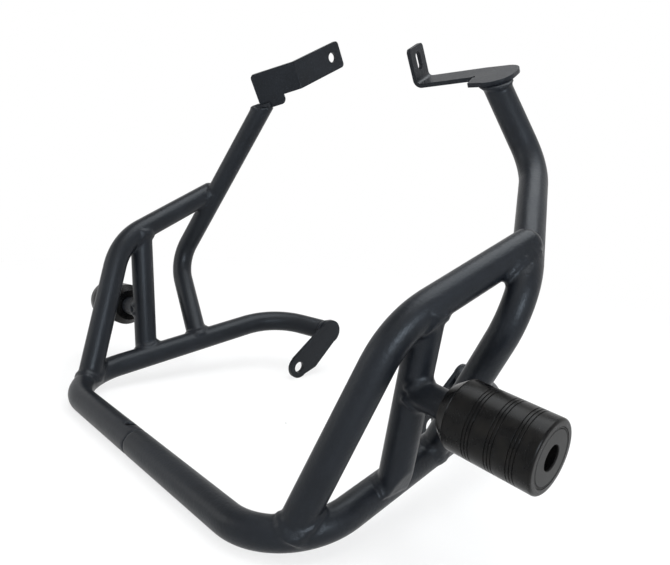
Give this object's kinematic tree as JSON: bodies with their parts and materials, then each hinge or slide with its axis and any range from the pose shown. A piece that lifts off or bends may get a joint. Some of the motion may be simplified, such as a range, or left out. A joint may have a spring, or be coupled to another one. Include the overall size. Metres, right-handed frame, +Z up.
{
  "type": "motorcycle crash bars",
  "caption": "Black engine crash bars for a motorcycle: welded tube halves sleeved together at the front, with bolt-on brackets, rear tabs and round plastic sliders.",
  "frame": {"origin": "bottom centre of the bounding box, where the bars stand by themselves on the front cross tube and the tips of the rear tabs", "axes": "+X across the machine towards its left side, -Y to the front, +Z up in the resting pose"},
  "size_m": [0.6402, 0.342, 0.4215],
  "materials": {
    "powder_coat": "satin black powder coat with a fine texture",
    "machined_nylon": "turned black plastic, semi-gloss",
    "cap_metal": "dark satin",
    "bolt_steel": "blackened"
  },
  "bodies": {
    "root": {"left_lower_tube": "powder_coat", "left_hoop": "powder_coat", "left_strut": "powder_coat", "left_upright": "powder_coat", "left_top_bracket": "powder_coat", "left_rear_tab": "powder_coat", "left_slider_boss": "powder_coat", "left_slider_collar": "machined_nylon", "left_slider": "machined_nylon", "left_end_cap": "cap_metal", "left_slider_bolt": "bolt_steel", "left_bolt_washer": "bolt_steel", "left_welds": "powder_coat", "right_lower_tube": "powder_coat", "right_hoop": "powder_coat", "right_strut": "powder_coat", "right_upright": "powder_coat", "right_top_bracket": "powder_coat", "right_rear_tab": "powder_coat", "right_slider_boss": "powder_coat", "right_slider_collar": "machined_nylon", "right_slider": "machined_nylon", "right_end_cap": "cap_metal", "right_slider_bolt": "bolt_steel", "right_bolt_washer": "bolt_steel", "right_welds": "powder_coat", "joining_sleeve": "bolt_steel", "locking_screw": "bolt_steel"}
  },
  "joints": []
}
